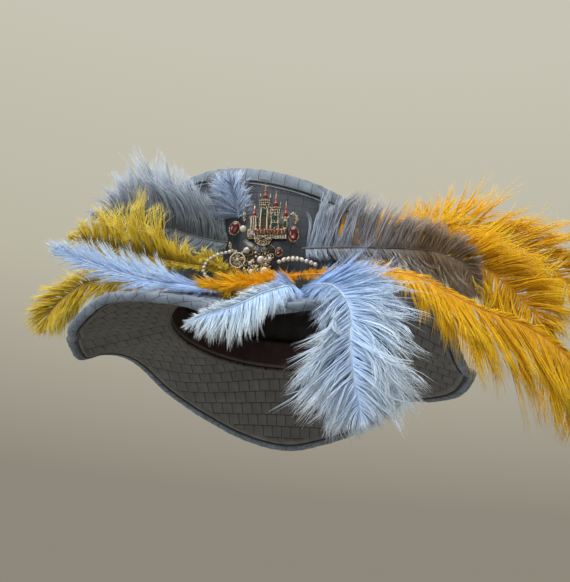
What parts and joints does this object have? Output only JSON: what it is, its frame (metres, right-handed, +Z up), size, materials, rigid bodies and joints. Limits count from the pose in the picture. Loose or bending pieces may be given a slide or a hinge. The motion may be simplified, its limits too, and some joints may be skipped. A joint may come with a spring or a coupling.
{
  "type": "plumed wide-brim hat",
  "caption": "Wide wavy-brimmed hat of quilted cloth with a flared padded crown, dyed ostrich plumes and a jewelled cluster in front.",
  "frame": {"origin": "middle of the oval head opening, in the plane where the crown meets the brim", "axes": "+Z up the crown, -Y the front of the hat, +X to the right as seen from the front; the plumes make X the longest side"},
  "size_m": [0.4584, 0.3675, 0.233],
  "materials": {
    "crown_cloth": "grey-blue quilted cloth, dull satin",
    "tip_cloth": "pale grey-blue quilted cloth, padded",
    "brim_cloth": "grey-blue cloth quilted in small bricks",
    "piping_black": "thin dark piping",
    "sweatband_brown": "dark brown band",
    "patch_felt": "padded felt",
    "slate_plume": "grey ostrich plume with pale blue tips",
    "sky_plume": "light blue ostrich plume",
    "lemon_plume": "lemon yellow ostrich plume",
    "gold_plume": "golden orange ostrich plume",
    "antique_gold": "antique gold-coloured cast metal with small clear and coloured stones",
    "garnet_red": "dark red cut glass in gold-coloured bezels",
    "steel_blue_stone": "dark grey-blue cut glass",
    "pearl_white": "lustrous imitation pearl"
  },
  "bodies": {
    "root": {"crown_side": "crown_cloth", "crown_tip": "tip_cloth", "tip_piping": "piping_black", "brim": "brim_cloth", "brim_roll": "brim_cloth", "brim_binding": "piping_black", "sweatband": "sweatband_brown", "plume_patch": "patch_felt", "slate_left": "slate_plume", "slate_right": "slate_plume", "sky_upright": "sky_plume", "sky_left": "sky_plume", "sky_brow": "sky_plume", "sky_front": "sky_plume", "yellow_left": "lemon_plume", "gold_left": "lemon_plume", "yellow_tuft": "lemon_plume", "orange_front": "gold_plume", "orange_side": "gold_plume", "gold_upper": "gold_plume", "gold_back": "gold_plume", "gold_front": "gold_plume", "castle_brooch": "antique_gold", "filigree_cluster": "antique_gold", "garnet_left": "garnet_red", "garnet_right": "garnet_red", "garnet_drop": "garnet_red", "rhinestone_curve": "antique_gold", "scroll": "antique_gold", "baguette_bar": "steel_blue_stone", "pearl_upper_left": "pearl_white", "pearl_left": "pearl_white", "pearl_middle": "pearl_white", "pearl_low_right": "pearl_white", "pearl_low_left": "pearl_white", "pearl_strand_left": "pearl_white", "pearl_strand_right": "pearl_white", "pearl_strand_back": "pearl_white"}
  },
  "joints": []
}
